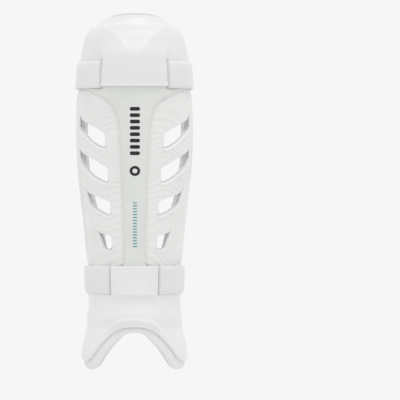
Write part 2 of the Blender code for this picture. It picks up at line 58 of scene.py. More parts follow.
DEPTH_CENTRE = 4.3
HALF_WIDTH = [(-4, 47.6), (16, 47.6), (28, 45.4), (42, 41.9), (54, 39.5), (64, 39.1), (72, 40.2),
              (91, 41.1), (99, 42.4), (118, 44.5), (143, 47.3), (167, 50.0), (191, 51.9), (212, 52.7),
              (232, 52.4), (246, 51.2), (256, 48.9), (268, 48.0), (280, 46.3), (293, 43.9), (300, 42.0),
              (307, 38.4), (327, 23.0)]
FRONT_DEPTH = [(-4, 57), (18, 55), (38, 51), (58, 46.5), (80, 45), (120, 47), (170, 50), (212, 52),
               (248, 53), (279, 52), (300, 48.5), (311, 44), (327, 31.5)]
REAR_CURL = [(-4, 5), (40, 8), (80, 12), (116, 10.5), (152, 5), (190, 2.2), (230, 2.4), (327, 4)]
REAR_U = 1.5
SIDE_DEPTH = 30
SHELL_TOP = [(0, 319.5), (0.44, 318.0), (0.64, 315.0), (0.94, 308.0), (1.2, 299.0), (REAR_U, 284.0)]
SHELL_BOTTOM = [(0, 38.8), (0.14, 38.0), (0.26, 35.0), (0.37, 29.4), (0.45, 23.7), (0.53, 17.3),
                (0.63, 10.4), (0.745, 7.4), (0.88, 8.6), (1.0, 11.8), (1.25, 21.6), (REAR_U, 36.0)]
LINER_BOTTOM = [(0, 34.9), (0.165, 32.2), (0.27, 25.9), (0.365, 19.2), (0.437, 13.0), (0.512, 6.6),
                (0.585, 2.2), (0.69, 0.0), (0.83, 1.4), (1.0, 6.0), (1.25, 15.4), (REAR_U, 29.0)]
ARC = 78.0                  # arc length of one unit of u, near enough everywhere

SPINE = [(93.2, 9.4), (121, 9.4), (152, 10.3), (177, 11.1), (193, 12.1), (208, 12.9), (218, 13.8),
         (226, 15.1), (232, 16.9), (237, 19.5), (241, 23.3), (244, 27.5), (247.5, 35.0), (252.2, 43.0)]
VENTS = [
    [(49.5, 229.8), (47.4, 224.1), (27.0, 212.4), (26.5, 199.2), (33.7, 202.4), (38.6, 205.7),
     (47.0, 214.9), (49.9, 217.4)],
    [(49.9, 199.1), (47.4, 194.9), (33.7, 186.8), (24.1, 180.8), (24.2, 168.3), (32.0, 171.6),
     (37.8, 175.4), (47.4, 185.0), (49.5, 190.8)],
    [(44.5, 164.7), (41.9, 158.9), (37.0, 156.8), (22.0, 151.0), (22.0, 139.1), (29.5, 142.2),
     (39.9, 148.8)],
    [(33.2, 125.6), (31.1, 122.7), (20.8, 120.2), (20.7, 108.5), (27.0, 109.4)],
]
VENT_ANGLES = [48.0, 46.0, 42.0, 36.0]

# How much wider than in the plate's face a vent is: all round, and more at its lower edges
VENT_PLATE_INNER = (0.0, 0.9)
VENT_FOAM_OUTER = (0.8, 1.6)
VENT_FOAM_INNER = (1.7, 2.6)
VENT_FACING = (2.8, 2.6)
VENT_CORNER = 2.6
VENT_POINTS = 150           # the same in every layer, so that the two sides of a wall match

GAP = 0.3
PLATE_THICKNESS = 2.4
COVER_THICKNESS = 2.2
FOAM_OUTER = -2.9
FOAM_INNER = -7.1
FACING_OUTER = -7.2
FACING_INNER = -8.1
PLATE_LOW = 53.0
PLATE_HIGH = 283.0

STRAP_WIDTH = 24.8
STRAP_THICKNESS = 1.8
STRAPS = {
    "upper": {"middle": 265.2, "bridge": 27.2, "reach": 36.0},
    "lower": {"middle": 80.6, "bridge": 19.1, "reach": 21.0},
}
SLOT_WIDTH = 4.8
STRAP_EDGES = {name: (strap["middle"] - STRAP_WIDTH / 2, strap["middle"] + STRAP_WIDTH / 2)
               for name, strap in STRAPS.items()}
CHANNEL = 2.6
BRIDGE_RISE = 2.3
UPPER_BRIDGE_LOW = 253.9
UPPER_CHANNEL_HIGH = 279.6
LOWER_BRIDGE_LOW = 64.8
LOWER_CHANNEL_LOW = 66.0
COVER_TOP_LOW = 93.5
OVER_COVER = 3.0
PATCH_THICKNESS = 1.1
TAB_THICKNESS = 2.4
# Shares of the way across the open back, from the right rear edge to the left
BACK_FIXED_END = 0.40
BACK_PEEL = 0.47
BACK_TIP = 0.19
BACK_TAB = 0.08


def spline(knots):
    """A natural cubic spline through the knots, on arrays."""
    at, value = np.array(knots, float).T
    step = np.diff(at)
    slope = np.diff(value) / step
    size = len(at)
    system = np.eye(size)
    right = np.zeros(size)
    for i in range(1, size - 1):
        system[i, i - 1:i + 2] = step[i - 1], 2 * (step[i - 1] + step[i]), step[i]
        right[i] = 6 * (slope[i] - slope[i - 1])
    bend = np.linalg.solve(system, right)

    def curve(x):
        x = np.clip(x, at[0], at[-1])
        i = np.clip(np.searchsorted(at, x) - 1, 0, size - 2)
        a = (at[i + 1] - x) / step[i]
        b = (x - at[i]) / step[i]
        bent = ((a ** 3 - a) * bend[i] + (b ** 3 - b) * bend[i + 1]) * step[i] ** 2 / 6
        return a * value[i] + b * value[i + 1] + bent

    return curve


half_width = spline(HALF_WIDTH)
front_depth = spline(FRONT_DEPTH)
rear_curl = spline(REAR_CURL)
shell_top = spline(SHELL_TOP)
shell_bottom = spline(SHELL_BOTTOM)
liner_bottom = spline(LINER_BOTTOM)


def mix(a, b, share):
    return a + (b - a) * share


def ease(x):
    x = np.clip(x, 0.0, 1.0)
    return x * x * (3 - 2 * x)


def unit(vectors):
    return vectors / np.linalg.norm(vectors, axis=-1, keepdims=True)


def leg(u, z):
    turn = np.minimum(np.abs(u), 1.0) * math.pi / 2
    behind = np.maximum(np.abs(u) - 1.0, 0.0) / (REAR_U - 1.0)
    x = np.sign(u) * (half_width(z) * np.sin(turn) - rear_curl(z) * behind ** 2)
    y = -front_depth(z) * np.cos(turn) + SIDE_DEPTH * behind - DEPTH_CENTRE
    return np.stack([x, y, z + 0.0 * x], -1)


def leg_normal(u, z):
    du, dz = 0.002, 0.2
    return unit(np.cross(leg(u + du, z) - leg(u - du, z), leg(u, z + dz) - leg(u, z - dz)))


def off_leg(u, z, offset):
    u, z = np.asarray(u, float), np.asarray(z, float)
    return leg(u, z) + leg_normal(u, z) * np.asarray(offset)[..., None]


def u_at(x, z):
    return np.arcsin(np.clip(x / half_width(z), -1, 1)) / (math.pi / 2)


# The knee end has a flat facet in the shape of a V, from two corners near the top to a point below.
FACET = [(277, 0.3), (281, 2.6), (286, 6.2), (291, 9.4), (296, 13.2), (300, 17.5), (303.5, 21.5),
         (306.5, 25.5), (311, 29.0), (328, 31.0)]
FACET_FLATNESS = [(277, 1.3), (286, 1.25), (291, 1.0), (296, 0.70), (300, 0.46), (303.5, 0.33),
                  (306.5, 0.24), (311, 0.15), (328, 0.05)]
FACET_LOW = 277
facet_half = spline(FACET)
facet_flatness = spline(FACET_FLATNESS)


def faceted(points):
    """Points of any layer, flattened from side to side inside the facet.

    The top edge also leans forward, so that it stands a little more upright than the leg surface.
    """
    x, y, z = points.T
    half = facet_half(z)
    width = np.maximum(half_width(z), 1.0)
    share = np.clip(half / width, 0, 0.96)
    at_edge = np.sqrt(1 - share ** 2)
    here = np.sqrt(1 - np.clip(np.abs(x) / width, 0, 0.99) ** 2)
    drop = front_depth(z) * (here - at_edge)
    soft = 0.5 * (drop + np.sqrt(drop ** 2 + 0.02)) - 0.05
    upright = 1.2 * ease((z - 311.5) / 11) * here
    return np.stack([x, y + facet_flatness(z) * soft * ease((z - FACET_LOW) / 4) - upright, z], -1)


# Flat outlines, in (u * ARC, z)

def resampled(path, step, count=None):
    """A closed path with even spacing: about step apart, or count points."""
    path = np.concatenate([path, path[:1]])
    length = np.concatenate([[0], np.cumsum(np.linalg.norm(np.diff(path, axis=0), axis=1))])
    count = count or max(int(math.ceil(length[-1] / step)), 8)
    at = np.linspace(0, length[-1], count, endpoint=False)
    return np.stack([np.interp(at, length, path[:, 0]), np.interp(at, length, path[:, 1])], -1)


def rounded(corners, radius, step=0.6, count=None):
    """A closed outline through the corners, each of them rounded."""
    corners = np.asarray(corners, float)
    path = []
    for i, here in enumerate(corners):
        back, on = corners[i - 1] - here, corners[(i + 1) % len(corners)] - here
        reach_back = min(radius, 0.48 * np.linalg.norm(back))
        reach_on = min(radius, 0.48 * np.linalg.norm(on))
        for t in np.linspace(0, 1, 9):
            path.append(here + unit(back) * reach_back * (1 - t) ** 2 + unit(on) * reach_on * t ** 2)
    return resampled(np.array(path), step, count)


def area(loop):
    x, y = loop.T
    return 0.5 * float(np.sum(x * np.roll(y, -1) - y * np.roll(x, -1)))


def inside(points, loop):
    """Which of the points are inside a loop."""
    x, y = points.T
    odd = np.zeros(len(points), bool)
    for (a, b), (c, d) in zip(loop, np.roll(loop, -1, axis=0)):
        if b != d:
            odd ^= ((b > y) != (d > y)) & (x < (c - a) * (y - b) / (d - b) + a)
    return odd


def mirrored(loop):
    return loop[::-1] * [-1, 1]


def edge_tree(loops):
    """A search tree over the points of the loops, and the points."""
    points = np.concatenate(loops)
    tree = KDTree(len(points))
    for i, (a, z) in enumerate(points):
        tree.insert((a, z, 0), i)
    tree.balance()
    return tree, points


def edge_distance(points, tree):
    found = [tree.find((a, z, 0)) for a, z in points]
    return np.array([f[2] for f in found]), np.array([tuple(f[0]) for f in found])


def triangulated(loops, spacing, rings):
    """Points and triangles that fill the first loop and leave out the others.

    Returns them with each point's distance to the nearest edge, that edge's point, and how many of the
    points are on the loops themselves.
    """
    loops = [loop if (area(loop) > 0) == (i == 0) else loop[::-1] for i, loop in enumerate(loops)]
    tree, on_edge = edge_tree(loops)
    points = [on_edge]
    for distance in rings:
        for loop in loops:
            along = unit(np.roll(loop, -1, axis=0) - np.roll(loop, 1, axis=0))
            ring = loop + np.stack([-along[:, 1], along[:, 0]], -1) * distance
            near, _ = edge_distance(ring, tree)
            points.append(ring[near > 0.93 * distance][:: 1 if distance < spacing else 2])
    low, high = loops[0].min(0), loops[0].max(0)
    rows = np.arange(low[1], high[1], spacing * 0.87)
    grid = []
    for i, z in enumerate(rows):
        a = np.arange(low[0] + (i % 2) * spacing / 2, high[0], spacing)
        grid.append(np.stack([a, np.full(len(a), z)], -1))
    grid = np.concatenate(grid)
    grid = grid[inside(grid, loops[0])]
    near, _ = edge_distance(grid, tree)
    grid = grid[near > (rings[-1] if rings else 0) + 0.55 * spacing]
    for loop in loops[1:]:
        grid = grid[~inside(grid, loop)]
    points = np.concatenate(points + [grid])
    edges, start = [], 0
    for loop in loops:
        count = len(loop)
        edges += [(start + i, start + (i + 1) % count) for i in range(count)]
        start += count
    made = delaunay_2d_cdt([Vector(p) for p in points], edges, [], 0, 1e-5, True)
    flat = np.array([tuple(p) for p in made[0]])
    faces = np.array(made[2])
    order = np.array([origin[0] if origin else -1 for origin in made[3]])
    middle = flat[faces].mean(1)
    kept = inside(middle, loops[0])
    for loop in loops[1:]:
        kept &= ~inside(middle, loop)
    place = np.full(len(points), -1)
    place[order[order >= 0]] = np.nonzero(order >= 0)[0]
    near, edge_points = edge_distance(flat, tree)
    return {"flat": flat, "faces": faces[kept], "loops": loops, "place": place, "near": near,
            "edge": edge_points[:, :2], "on_edge": len(on_edge)}


def new_object(name, points, faces, look, body, replaces=()):
    """A mesh object from points in millimetres."""
    mesh = bpy.data.meshes.new(name)
    mesh.from_pydata((np.asarray(points) * MM).tolist(), [], [list(map(int, f)) for f in faces])
    mesh.validate()
    mesh.update()
    mesh.shade_smooth()
    mesh.materials.append(look)
    obj = bpy.data.objects.new(name, mesh)
    bpy.context.scene.collection.objects.link(obj)
    if body:
        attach(obj, body)
    if replaces:
        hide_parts(*replaces)
    return obj


def sharpen(obj, degrees=40):
    obj.data.set_sharp_from_angle(angle=math.radians(degrees))


def sheet_mesh(outside, inside_loops, outer, inner, steps, rings, shape=None):
    """Points and faces of a closed moulding between two offsets of the leg surface.

    outer and inner give an offset from u, z, the distance to the nearest edge and that edge's point.
    steps are the mesh's spacing on the two sides, and rings the distances from an edge at which rows of
    points follow it.
    """
    sides = []
    for loops, offset, spacing in ((outside, outer, steps[0]), (inside_loops, inner, steps[1])):
        made = triangulated(loops, spacing, rings)
        u, z = made["flat"][:, 0] / ARC, made["flat"][:, 1]
        points = off_leg(u, z, offset(u, z, made["near"], made["edge"]))
        sides.append((made, shape(points) if shape else points))
    (a, points_a), (b, points_b) = sides
    start = len(points_a)
    faces = [tuple(f) for f in a["faces"]]
    faces += [tuple(start + f[::-1]) for f in b["faces"]]
    first = 0
    for loop_a, loop_b in zip(a["loops"], b["loops"]):
        count = len(loop_a)
        assert count == len(loop_b)
        for i in range(count):
            j = (i + 1) % count
            p, q = a["place"][first + i], a["place"][first + j]
            r, s = start + b["place"][first + i], start + b["place"][first + j]
            faces.append((p, r, s, q))
        first += count
    return np.concatenate([points_a, points_b]), faces


def round_edge(near, radius):
    """How far an edge's rounding drops the surface at a distance from the edge."""
    left = np.clip(1 - near / radius, 0, 1)
    return radius * (1 - np.sqrt(1 - left ** 2))


# Materials

def set_inputs(node, values):
    for name, value in values.items():
        node.inputs[name].default_value = value


def look_of(name, colour, roughness, grain, bump, metallic=0.0, sheen=0.0, coat=0.0, weave=0.0,
            spread=0.02, specular=0.35):
    """A procedural material: a slightly uneven colour, a grain in the bump and an uneven roughness.

    grain is the size of the grain in millimetres, bump its height, weave the pitch of a fabric's
    crossing threads in millimetres, or 0, and spread how uneven the colour is.
    """
    made = bpy.data.materials.new(name)
    made.use_nodes = True
    nodes, links = made.node_tree.nodes, made.node_tree.links
    shader = nodes["Principled BSDF"]
    set_inputs(shader, {"Metallic": metallic, "Sheen Weight": sheen, "Coat Weight": coat,
                        "Coat Roughness": 0.3, "Specular IOR Level": specular})
    place = nodes.new("ShaderNodeTexCoord")

    def noise(size, detail):
        made_noise = nodes.new("ShaderNodeTexNoise")
        set_inputs(made_noise, {"Scale": 1000 / size, "Detail": detail})
        links.new(place.outputs["Object"], made_noise.inputs["Vector"])
        return made_noise.outputs["Fac"]

    def ranged(value, low, high):
        made_range = nodes.new("ShaderNodeMapRange")
        set_inputs(made_range, {"From Min": 0.3, "From Max": 0.7, "To Min": low, "To Max": high})
        links.new(value, made_range.inputs["Value"])
        return made_range.outputs["Result"]

    tint = nodes.new("ShaderNodeMix")
    tint.data_type = "RGBA"
    set_inputs(tint, {"A": (*[c * (1 - spread) for c in colour], 1),
                      "B": (*[min(c * (1 + spread), 1) for c in colour], 1)})
    links.new(ranged(noise(24, 3), 0, 1), tint.inputs["Factor"])
    links.new(tint.outputs["Result"], shader.inputs["Base Color"])
    links.new(ranged(noise(6, 4), roughness - 0.05, roughness + 0.05), shader.inputs["Roughness"])
    height = noise(grain, 2)
    if weave:
        for direction in ("X", "Z"):
            threads = nodes.new("ShaderNodeTexWave")
            threads.bands_direction = direction
            scale = 1000 * 2 * math.pi / 20 / weave
            set_inputs(threads, {"Scale": scale, "Distortion": 0.6, "Detail": 1.0})
            links.new(place.outputs["Object"], threads.inputs["Vector"])
            added = nodes.new("ShaderNodeMath")
            added.operation = "ADD"
            links.new(height, added.inputs[0])
            links.new(threads.outputs["Fac"], added.inputs[1])
            height = added.outputs["Value"]
    bumped = nodes.new("ShaderNodeBump")
    set_inputs(bumped, {"Distance": bump * MM, "Strength": 0.6})
    links.new(height, bumped.inputs["Height"])
    links.new(bumped.outputs["Normal"], shader.inputs["Normal"])
    return made


PLATE = look_of("wing_plastic", (0.81, 0.813, 0.80), 0.38, 0.8, 0.03, coat=0.15, specular=0.45)
SPINE_LOOK = look_of("rib_plastic", (0.735, 0.75, 0.725), 0.45, 0.8, 0.03)
COVER = look_of("cap_plastic", (0.775, 0.775, 0.775), 0.34, 1.2, 0.02, coat=0.15, specular=0.45)
# Same white plastic as the knee cap, given a lighter base colour: painted light for the extra light on
# the ankle's upward-facing lower part
ANKLE_LIT_PLASTIC = look_of("ankle_plastic_lit", (0.81, 0.81, 0.81), 0.34, 1.2, 0.02, coat=0.15, specular=0.45)
FOAM = look_of("foam", (0.80, 0.80, 0.798), 0.85, 0.7, 0.12)
FACING = look_of("knit_facing", (0.80, 0.80, 0.80), 0.9, 0.5, 0.10, sheen=0.35, weave=1.3)
WEBBING = look_of("elastic_webbing", (0.775, 0.775, 0.775), 0.8, 0.4, 0.05, sheen=0.25, weave=0.9)
LOOP = look_of("loop_pile", (0.82, 0.82, 0.81), 0.95, 0.4, 0.15, sheen=0.5)
HOOK = look_of("hook_tape", (0.78, 0.78, 0.78), 0.55, 0.5, 0.05)
TAB = look_of("soft_tab", (0.80, 0.80, 0.79), 0.6, 0.5, 0.04)
METAL = look_of("rivet_metal", (0.62, 0.62, 0.63), 0.32, 0.6, 0.01, metallic=1.0)
THREAD = look_of("thread", (0.84, 0.84, 0.835), 0.7, 0.3, 0.03, sheen=0.3)
DARK_PRINT = look_of("dark_print", (0.012, 0.013, 0.014), 0.5, 0.5, 0.01, spread=0.1)
TEAL_PRINT = look_of("teal_print", (0.10, 0.36, 0.36), 0.5, 0.5, 0.01, spread=0.06)


# Hard shell

def slot_ends(strap):
    """The u of a slot's two sides: at the bridge, and where the slot ends in the CAD."""
    bridge, middle = STRAPS[strap]["bridge"], STRAPS[strap]["middle"]
    return float(u_at(bridge, middle)), float(u_at(bridge + SLOT_WIDTH, middle))


SLOT_SHARE = 0.5            # how much of the way to its end a slot is open, the rest is under the strap
SLOT_CLEAR = 0.06


def open_slot(strap):
    """The two sides of the open part of a slot, along the arc."""
    edge, end = (a * ARC for a in slot_ends(strap))
    return edge, mix(edge, end, SLOT_SHARE)


def bridge_share(strap, u, z):
    """1 on the bridge and 0 beside it: a crisp step at the slots, and a soft one past their ends."""
    edge, end = slot_ends(strap)
    if strap == "upper":
        past = ease((z - UPPER_CHANNEL_HIGH + 2) / 12)
    else:
        past = ease((LOWER_CHANNEL_LOW + 2 - z) / 8)
    start = mix(edge * 0.98, edge * 0.72, past)
    width = mix((end - edge) * 0.22, edge * 0.75, past)
    return 1 - ease((np.abs(u) - start) / width)


def edge_curve(height, start, end, count=60):
    """Points along an outline of the shell, from u start to u end."""
    u = np.linspace(start, end, count)
    return [(a * ARC, h) for a, h in zip(u, height(np.abs(u)))]


def vent_loop(vent, angle, depth, margin, under):
    """A vent's outline where its slanting walls reach a depth below the leg surface.

    It is wider by margin all round and by under at its lower edges, so that the plate's own edge
    stands in front of them.
    """
    outline = np.array(vent, float)
    centre = outline.mean(0)
    outline = outline + unit(outline - centre) * margin
    loop = rounded(outline, VENT_CORNER, count=VENT_POINTS)
    x, z = loop.T
    into = np.array([-math.sin(math.radians(angle)), math.cos(math.radians(angle))])
    start = leg(u_at(x, z), z)[:, :2]
    u = u_at(x, z)
    for _ in range(12):
        step = 1e-3
        here = off_leg(u, z, -depth)[:, :2] - start
        there = off_leg(u + step, z, -depth)[:, :2] - start
        miss = here[:, 0] * into[1] - here[:, 1] * into[0]
        change = (there[:, 0] * into[1] - there[:, 1] * into[0] - miss) / step
        u = u - np.clip(miss / change, -0.1, 0.1)
    deep = np.stack([u * ARC, z], -1)
    along = unit(np.roll(deep, -1, axis=0) - np.roll(deep, 1, axis=0))
    outwards = np.stack([along[:, 1], -along[:, 0]], -1) * np.sign(area(deep))
    downwards = np.clip(-outwards[:, 1] * 1.3, 0, 1)
    return deep + outwards * (downwards * under)[:, None]


def vent_loops(depth, margin=0.0, under=0.0):
    loops = []
    for vent, angle in zip(VENTS, VENT_ANGLES):
        loop = vent_loop(vent, angle, depth, margin, under)
        loops += [loop, mirrored(loop)]
    return loops


CONTOUR_HILLS = 34
CONTOUR_PITCH = 2.0
CONTOUR_HEIGHT = 0.40


def contour_relief(u, z):
    """Shallow contour lines moulded into the wings."""
    a = np.abs(u) * ARC * np.sign(u)
    seeds = np.random.default_rng(7)
    field = 0.30 * z + 0.10 * np.abs(a)
    for _ in range(CONTOUR_HILLS):
        at_a, at_z = seeds.uniform(-100, 100), seeds.uniform(85, 260)
        wide, tall = seeds.uniform(8, 24), seeds.uniform(10, 34)
        lift = seeds.uniform(-9, 9)
        field = field + lift * np.exp(-((a - at_a) / wide) ** 2 - ((z - at_z) / tall) ** 2)
    wave = np.cos(field * 2 * math.pi / CONTOUR_PITCH)
    return CONTOUR_HEIGHT * ease((wave + 0.5) / 1.5)


def plate_outer(u, z, near, edge):
    """The plate's face: contour lines, bevelled lower vent edges, and a valley beside the rib."""
    below = np.clip((edge[:, 1] - z) / np.maximum(near, 0.01), 0, 1)
    share = ease(below * 1.6)
    lip = 0.8 * np.exp(-((near - 2.9) / 1.1) ** 2)
    bevel = share * (2.5 * np.clip(1 - near / 2.5, 0, 1) ** 1.2 - lip)
    beside_rib = (np.abs(u) - u_at(spline(SPINE)(z), z)) * ARC
    valley = 0.4 * np.exp(-((beside_rib - 1.2) / 1.2) ** 2)
    relief = contour_relief(u, z) * ease((near - 1.5) / 2.5) * ease(beside_rib / 2.0) - valley
    return relief - round_edge(near, 0.7) * (1 - 0.6 * share) - bevel


def plain(value, radius=0.0):
    """An even offset, with its edges rounded inwards by radius."""
    def offset(u, z, near, edge):
        return value + (round_edge(near, radius) if radius else 0.0 * near)
    return offset


def make_plate():
    corners = [(-REAR_U * ARC, PLATE_LOW), (REAR_U * ARC, PLATE_LOW), (REAR_U * ARC, PLATE_HIGH),
               (-REAR_U * ARC, PLATE_HIGH)]
    outline = rounded(corners, radius=4, step=0.9)
    points, faces = sheet_mesh([outline] + vent_loops(0.0),
                               [outline] + vent_loops(PLATE_THICKNESS, *VENT_PLATE_INNER),
                               plate_outer, plain(-PLATE_THICKNESS, 0.3), steps=(0.85, 3.0),
                               rings=(0.15, 0.4, 0.8, 1.3, 1.9, 2.6))
    plate = new_object("wing_plate", points, faces, PLATE, "guard", ["shin_plate"])
    sharpen(plate, 50)


RIB_EDGE = 0.9
RIB_RISE = 1.5


def spine_outer(u, z, near, edge):
    """The rib's face, bevelled at its sides and full at its two ends."""
    full = np.maximum(ease((z - 251) / 1.0), 1 - ease((z - 94.4) / 0.8))
    return RIB_EDGE + RIB_RISE * np.maximum(ease(near / 2.3), full)


def spine_inner(u, z, near, edge):
    """The rib's back. A thin tongue at its top reaches under the knee cap's bridge, over the strap."""
    return mix(0.3, 2.2, ease((z - 251.8) / 0.5))


def make_spine():
    z = np.linspace(SPINE[0][0], SPINE[-1][0], 90)
    side = np.stack([u_at(spline(SPINE)(z), z) * ARC, z], -1)
    tongue = np.array([(27.0, 252.2), (27.0, 256.0), (-27.0, 256.0), (-27.0, 252.2)])
    tongue[:, 0] = u_at(tongue[:, 0], tongue[:, 1]) * ARC
    outline = resampled(np.concatenate([side, tongue, mirrored(side)]), step=0.7)
    points, faces = sheet_mesh([outline], [outline], spine_outer, spine_inner, steps=(1.0, 1.0),
                               rings=(0.2, 0.7, 1.3, 1.9, 2.6))
    made = new_object("centre_rib", points, faces, SPINE_LOOK, "guard", ["spine_rib"])
    sharpen(made, 50)


def knee_cap_inner(z):
    return GAP - PLATE_THICKNESS * ease((z - PLATE_HIGH - 3) / 18)


def ankle_inner(z):
    return GAP - PLATE_THICKNESS * ease((PLATE_LOW - 4 - z) / 14)


COVER_CORNER = 1.3
COVER_EDGE = 0.9
COVER_RINGS = (0.15, 0.45, 0.9)
BRIM = 309.6                # height of the line across the dome's front where it turns in


def groove(z, at, width=0.5, depth=0.12):
    """A fine line across a cover."""
    return -depth * np.exp(-((z - at) / width) ** 2)


def cap_outer(u, z, near, edge):
    """The knee cap's face: the bridge, the dome with its brim and a fine line on the bridge."""
    along = 1 - ease((z - UPPER_CHANNEL_HIGH - 1) / 16)
    base = knee_cap_inner(z) + COVER_THICKNESS + BRIDGE_RISE * bridge_share("upper", u, z) * along
    brim = ease((z + 8.5 * np.minimum(u ** 2, 0.36) - BRIM) / 3.8)
    crown = 1.6 * ease((z - 286) / 16) * (1 - brim) - 0.9 * brim
    centre = 1 - ease((np.abs(u) - 0.2) / 0.15)
    low_lip = 0.35 * ease((256.9 - z) / 2.2) * bridge_share("upper", u, z)
    fine = groove(z, 259.3) * centre + low_lip
    return base + crown + fine - round_edge(near, COVER_EDGE)


def cap_inner(u, z, near, edge):
    edge_u, _ = slot_ends("upper")
    hollow = (1 - ease((np.abs(u) - edge_u) / 0.012)) * (1 - ease((z - UPPER_CHANNEL_HIGH) / 1.2))
    return mix(knee_cap_inner(z), CHANNEL, hollow)


def make_knee_cap():
    edge, end = open_slot("upper")
    low, slot_top = UPPER_BRIDGE_LOW, STRAP_EDGES["upper"][1] + SLOT_CLEAR
    right = REAR_U * ARC
    corners = [(-right, low), (-end, low), (-end, slot_top), (-edge, slot_top), (-edge, low),
               (edge, low), (edge, slot_top), (end, slot_top), (end, low), (right, low)]
    corners += edge_curve(shell_top, REAR_U, -REAR_U)
    outline = rounded(corners, COVER_CORNER)
    points, faces = sheet_mesh([outline], [outline], cap_outer, cap_inner, steps=(1.15, 2.2),
                               rings=COVER_RINGS, shape=faceted)
    made = new_object("knee_cap_shell", points, faces, COVER, "guard", ["knee_cap"])
    sharpen(made, 50)


def ankle_outer(u, z, near, edge):
    """The ankle guard's face: the bridge, the flare, and a lip and a bead round the arch."""
    along = 0.55 * ease((z - 65.3) / 0.9) + 0.45 * (1 - ease((LOWER_BRIDGE_LOW - z) / 6))
    base = ankle_inner(z) + COVER_THICKNESS + BRIDGE_RISE * bridge_share("lower", u, z) * along
    arch = (1 - ease((z - 56) / 6)) * (1 - 0.75 * ease((np.abs(u) - 0.25) / 0.3)) * (np.abs(u) < 0.74)
    lip = 0.75 * np.exp(-((near - 4.6) / 1.5) ** 2) - 0.22 * np.exp(-((near - 8.6) / 1.1) ** 2)
    bead = 0.3 * np.exp(-((near - 1.1) / 0.6) ** 2)
    centre = 1 - ease((np.abs(u) - 0.24) / 0.12)
    fine = (groove(z, 83.6) + groove(z, 75.4)) * centre
    flare = 2.2 * ease((66 - z) / 24) * (1 - ease((np.abs(u) - 0.1) / 0.35)) * ease((near - 0.9) / 2.6)
    return base + (lip + bead) * arch + flare + fine - round_edge(near, COVER_EDGE)


def ankle_inside(u, z, near, edge):
    edge_u, _ = slot_ends("lower")
    hollow = (1 - ease((np.abs(u) - edge_u) / 0.012)) * ease((z - LOWER_CHANNEL_LOW) / 1.2)
    return mix(ankle_inner(z), CHANNEL, hollow)


def make_ankle_guard():
    edge, end = open_slot("lower")
    high, slot_low = COVER_TOP_LOW, STRAP_EDGES["lower"][0] - SLOT_CLEAR
    right = REAR_U * ARC
    corners = edge_curve(shell_bottom, -REAR_U, REAR_U, count=90)
    corners += [(right, high), (end, high), (end, slot_low), (edge, slot_low), (edge, high),
                (-edge, high), (-edge, slot_low), (-end, slot_low), (-end, high), (-right, high)]
    outline = rounded(corners, COVER_CORNER)
    points, faces = sheet_mesh([outline], [outline], ankle_outer, ankle_inside, steps=(1.0, 2.2),
                               rings=COVER_RINGS)
    made = new_object("ankle_shell", points, faces, ANKLE_LIT_PLASTIC, "guard", ["ankle_guard"])
    sharpen(made, 50)


# Rivets

RIVETS = {"upper": {"front": (0.66, 262.0), "rear": (0.95, 262.0)},
          "lower": {"front": (0.52, 78.0), "rear": (0.88, 78.0)}}
# Radius and offset from the leg surface, from the middle of the back to the middle of the head
RIVET_PROFILE = [(0, -2.4), (1.9, -2.4), (2.5, -2.2), (2.6, -1.9), (2.6, 2.25), (2.45, 2.5), (2.0, 2.66),
                 (1.3, 2.76), (0.8, 2.79), (0.7, 2.6), (0, 2.58)]


def make_rivet(name, u, z):
    """A low domed rivet with a small dimple, square to the leg surface."""
    centre, axis = leg(np.array([u]), np.array([z]))[0], leg_normal(np.array([u]), np.array([z]))[0]
    side = unit(np.cross(axis, (0, 0, 1)))
    up = np.cross(side, axis)
    sides = 40
    points, faces = [], []
    for radius, offset in RIVET_PROFILE[1:-1]:
        for k in range(sides):
            turn = 2 * math.pi * k / sides
            points.append(centre + axis * offset + radius * (side * math.cos(turn) + up * math.sin(turn)))
    rows = len(RIVET_PROFILE) - 2
    for row in range(rows - 1):
        for k in range(sides):
            n = (k + 1) % sides
            faces.append((row * sides + k, (row + 1) * sides + k, (row + 1) * sides + n, row * sides + n))
    points += [centre + axis * RIVET_PROFILE[0][1], centre + axis * RIVET_PROFILE[-1][1]]
    for k in range(sides):
        n = (k + 1) % sides
        faces.append((rows * sides, k, n))
        faces.append((rows * sides + 1, (rows - 1) * sides + n, (rows - 1) * sides + k))
    made = new_object(name + "_head", points, faces, METAL, "guard", [name])
    sharpen(made, 35)


def make_rivets():
    for strap, spots in RIVETS.items():
        for spot, (u, z) in spots.items():
            make_rivet(f"{strap}_rivet_right_{spot}", u, z)
            make_rivet(f"{strap}_rivet_left_{spot}", -u, z)


# Liner

REAR_EDGE = REAR_U + 2.0 / SIDE_DEPTH * (REAR_U - 1)      # the liner's, 2 mm past the shell's
LINER_SHOWS = 4.4           # how far the liner stands above the shell
LINER_TOP = 292.0           # from here up the foam's seam shows and the facing's puff fades
FACING_INSET = 0.8
# The pads between foam and plate: u, height of the middle, width and length
PADS = [(0.0, 180.0, 15.0, 110.0), (-1.22, 170.0, 15.0, 80.0), (1.22, 170.0, 15.0, 80.0)]
CHANNELS = [0.30, 0.72, 1.14]         # u of the lines that the facing is welded down along


def liner_top(u):
    return shell_top(np.minimum(u, REAR_U)) + LINER_SHOWS


def liner_low(u):
    return liner_bottom(np.minimum(u, REAR_U))


def liner_outline(inset=0.0):
    side = REAR_EDGE * ARC - inset
    narrower = side / (REAR_EDGE * ARC)
    top = [(a * narrower, h - inset) for a, h in edge_curve(liner_top, REAR_EDGE, -REAR_EDGE)]
    low = [(a * narrower, h + inset) for a, h in edge_curve(liner_low, -REAR_EDGE, REAR_EDGE, count=90)]
    return rounded(low + top, radius=3.0)


